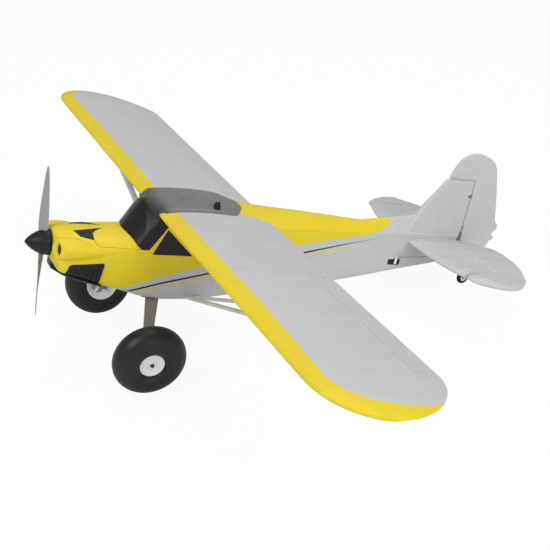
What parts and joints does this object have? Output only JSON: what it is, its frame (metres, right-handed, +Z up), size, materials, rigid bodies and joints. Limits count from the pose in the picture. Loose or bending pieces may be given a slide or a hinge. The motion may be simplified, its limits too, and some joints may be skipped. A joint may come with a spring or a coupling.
{
  "type": "rc foam airplane",
  "caption": "High-wing foam model airplane on balloon tyres, with strut-braced wing, spinning propeller, hinged ailerons, elevator and rudder, steerable tail wheel and a lift-off battery hatch",
  "frame": {"origin": "middle of the bounding box, on the ground under the three wheels", "axes": "+X to the port wing tip, -Y to the nose, +Z up; the airframe stands nose up on its main wheels and tail wheel"},
  "size_m": [1.4988, 1.0226, 0.3816],
  "materials": {
    "yellow": "moulded foam, painted",
    "grey": "moulded foam",
    "black": "moulded plastic",
    "smoke": "tinted moulding",
    "gear": "formed sheet",
    "steel": "wire",
    "carbon": "carbon tube",
    "rubber": "soft foam rubber",
    "white": "moulded",
    "propgrey": "moulded",
    "strut": "moulded",
    "wrap": "shrink wrap"
  },
  "bodies": {
    "airframe": {"fuselage_left": "yellow", "fuselage_right": "yellow", "chin_cowl": "black", "louvre_left": "black", "louvre_right": "black", "window_left": "black", "window_right": "black", "wing_cover": "smoke", "wing_left": "grey", "wing_right": "grey", "wing_spar": "carbon", "fin": "grey", "stabiliser": "grey", "strut_front_left": "strut", "strut_rear_left": "strut", "strut_front_right": "strut", "strut_rear_right": "strut", "gear_plate": "black", "gear_leg_left": "gear", "gear_leg_right": "gear", "tail_bracket": "black", "motor_mount": "black", "motor_stator": "gear", "battery": "wrap", "speed_control": "black", "receiver": "black", "servo_elevator": "black", "servo_rudder": "black", "servo_aileron_left": "black", "servo_aileron_right": "black"},
    "canopy": {"battery_hatch": "yellow", "windscreen": "black"},
    "propeller": {"propeller": "propgrey", "spinner": "black", "motor_bell": "black"},
    "wheel_left": {"tyre_left": "rubber", "hub_left": "white"},
    "wheel_right": {"tyre_right": "rubber", "hub_right": "white"},
    "rudder": {"rudder": "grey", "horn_rudder": "black", "tail_wire": "steel"},
    "tail_wheel": {"tail_tyre": "rubber", "tail_hub": "white"},
    "elevator": {"elevator_left": "grey", "elevator_right": "grey", "elevator_joiner": "steel", "horn_elevator": "black"},
    "aileron_left": {"aileron_left": "grey", "horn_aileron_left": "black"},
    "aileron_right": {"aileron_right": "grey", "horn_aileron_right": "black"},
    "arm_elevator": {"arm_elevator": "black"},
    "pushrod_elevator": {"pushrod_elevator": "steel"},
    "arm_rudder": {"arm_rudder": "black"},
    "pushrod_rudder": {"pushrod_rudder": "steel"},
    "arm_aileron_left": {"arm_aileron_left": "black"},
    "pushrod_aileron_left": {"pushrod_aileron_left": "steel"},
    "arm_aileron_right": {"arm_aileron_right": "black"},
    "pushrod_aileron_right": {"pushrod_aileron_right": "steel"}
  },
  "joints": [
    {"name": "propeller_spin", "type": "hinge", "parent": "airframe", "child": "propeller", "pos_m": [0, -0.48026, 0.25034], "axis": [0, 0.98, -0.1989], "continuous": true},
    {"name": "wheel_left_spin", "type": "hinge", "parent": "airframe", "child": "wheel_left", "pos_m": [0.165, -0.33903, 0.0679], "axis": [0.9903, -0.0277, -0.1364], "continuous": true},
    {"name": "wheel_right_spin", "type": "hinge", "parent": "airframe", "child": "wheel_right", "pos_m": [-0.165, -0.33903, 0.0679], "axis": [0.9903, 0.0277, 0.1364], "continuous": true},
    {"name": "rudder_turn", "type": "hinge", "parent": "airframe", "child": "rudder", "pos_m": [0, 0.41164, 0.08132], "axis": [0, 0.1989, 0.98], "range_deg": [-25, 25]},
    {"name": "tail_wheel_spin", "type": "hinge", "parent": "rudder", "child": "tail_wheel", "pos_m": [0, 0.43818, 0.014], "axis": [1, 0, 0], "continuous": true},
    {"name": "elevator_turn", "type": "hinge", "parent": "airframe", "child": "elevator", "pos_m": [0, 0.38643, 0.11297], "axis": [1, 0, 0], "range_deg": [-20, 20]},
    {"name": "aileron_left_turn", "type": "hinge", "parent": "airframe", "child": "aileron_left", "pos_m": [0.3046, -0.10124, 0.26416], "axis": [1, 0.0016, 0.0078], "range_deg": [-20, 20]},
    {"name": "aileron_right_turn", "type": "hinge", "parent": "airframe", "child": "aileron_right", "pos_m": [-0.3046, -0.10124, 0.26416], "axis": [1, -0.0016, -0.0078], "range_deg": [-20, 20]},
    {"name": "canopy_lift", "type": "slide", "parent": "airframe", "child": "canopy", "axis": [0, 0.1989, 0.98], "range_m": [0, 0.12]},
    {"name": "arm_elevator_turn", "type": "hinge", "parent": "airframe", "child": "arm_elevator", "pos_m": [0.02425, 0.24449, 0.09485], "axis": [1, 0, 0], "range_deg": [-43, 43]},
    {"name": "pushrod_elevator_slide", "type": "slide", "parent": "airframe", "child": "pushrod_elevator", "axis": [0, 0.98, -0.1989], "range_m": [-0.0097, 0.0097]},
    {"name": "arm_rudder_turn", "type": "hinge", "parent": "airframe", "child": "arm_rudder", "pos_m": [-0.02145, 0.27097, 0.09458], "axis": [1, 0, 0], "range_deg": [-42, 42]},
    {"name": "pushrod_rudder_slide", "type": "slide", "parent": "airframe", "child": "pushrod_rudder", "axis": [0, 0.98, -0.1989], "range_m": [-0.012, 0.012]},
    {"name": "arm_aileron_left_turn", "type": "hinge", "parent": "airframe", "child": "arm_aileron_left", "pos_m": [0.4705, -0.13809, 0.25352], "axis": [1, 0, 0], "range_deg": [-46, 46]},
    {"name": "pushrod_aileron_left_slide", "type": "slide", "parent": "airframe", "child": "pushrod_aileron_left", "axis": [0, 0.98, -0.1989], "range_m": [-0.012, 0.012]},
    {"name": "arm_aileron_right_turn", "type": "hinge", "parent": "airframe", "child": "arm_aileron_right", "pos_m": [-0.4695, -0.13809, 0.25352], "axis": [1, 0, 0], "range_deg": [-46, 46]},
    {"name": "pushrod_aileron_right_slide", "type": "slide", "parent": "airframe", "child": "pushrod_aileron_right", "axis": [0, 0.98, -0.1989], "range_m": [-0.012, 0.012]}
  ],
  "couplings": [
    {"joint": "aileron_right_turn", "follows": "aileron_left_turn", "ratio": -1},
    {"joint": "arm_elevator_turn", "follows": "elevator_turn", "ratio": -2},
    {"joint": "pushrod_elevator_slide", "follows": "elevator_turn", "m_per_rad": 0.026},
    {"joint": "arm_rudder_turn", "follows": "rudder_turn", "ratio": 1.57},
    {"joint": "pushrod_rudder_slide", "follows": "rudder_turn", "m_per_rad": -0.0235},
    {"joint": "arm_aileron_left_turn", "follows": "aileron_left_turn", "ratio": 2.2},
    {"joint": "pushrod_aileron_left_slide", "follows": "aileron_left_turn", "m_per_rad": 0.0262},
    {"joint": "arm_aileron_right_turn", "follows": "aileron_left_turn", "ratio": -2.2},
    {"joint": "pushrod_aileron_right_slide", "follows": "aileron_left_turn", "m_per_rad": -0.0262}
  ]
}
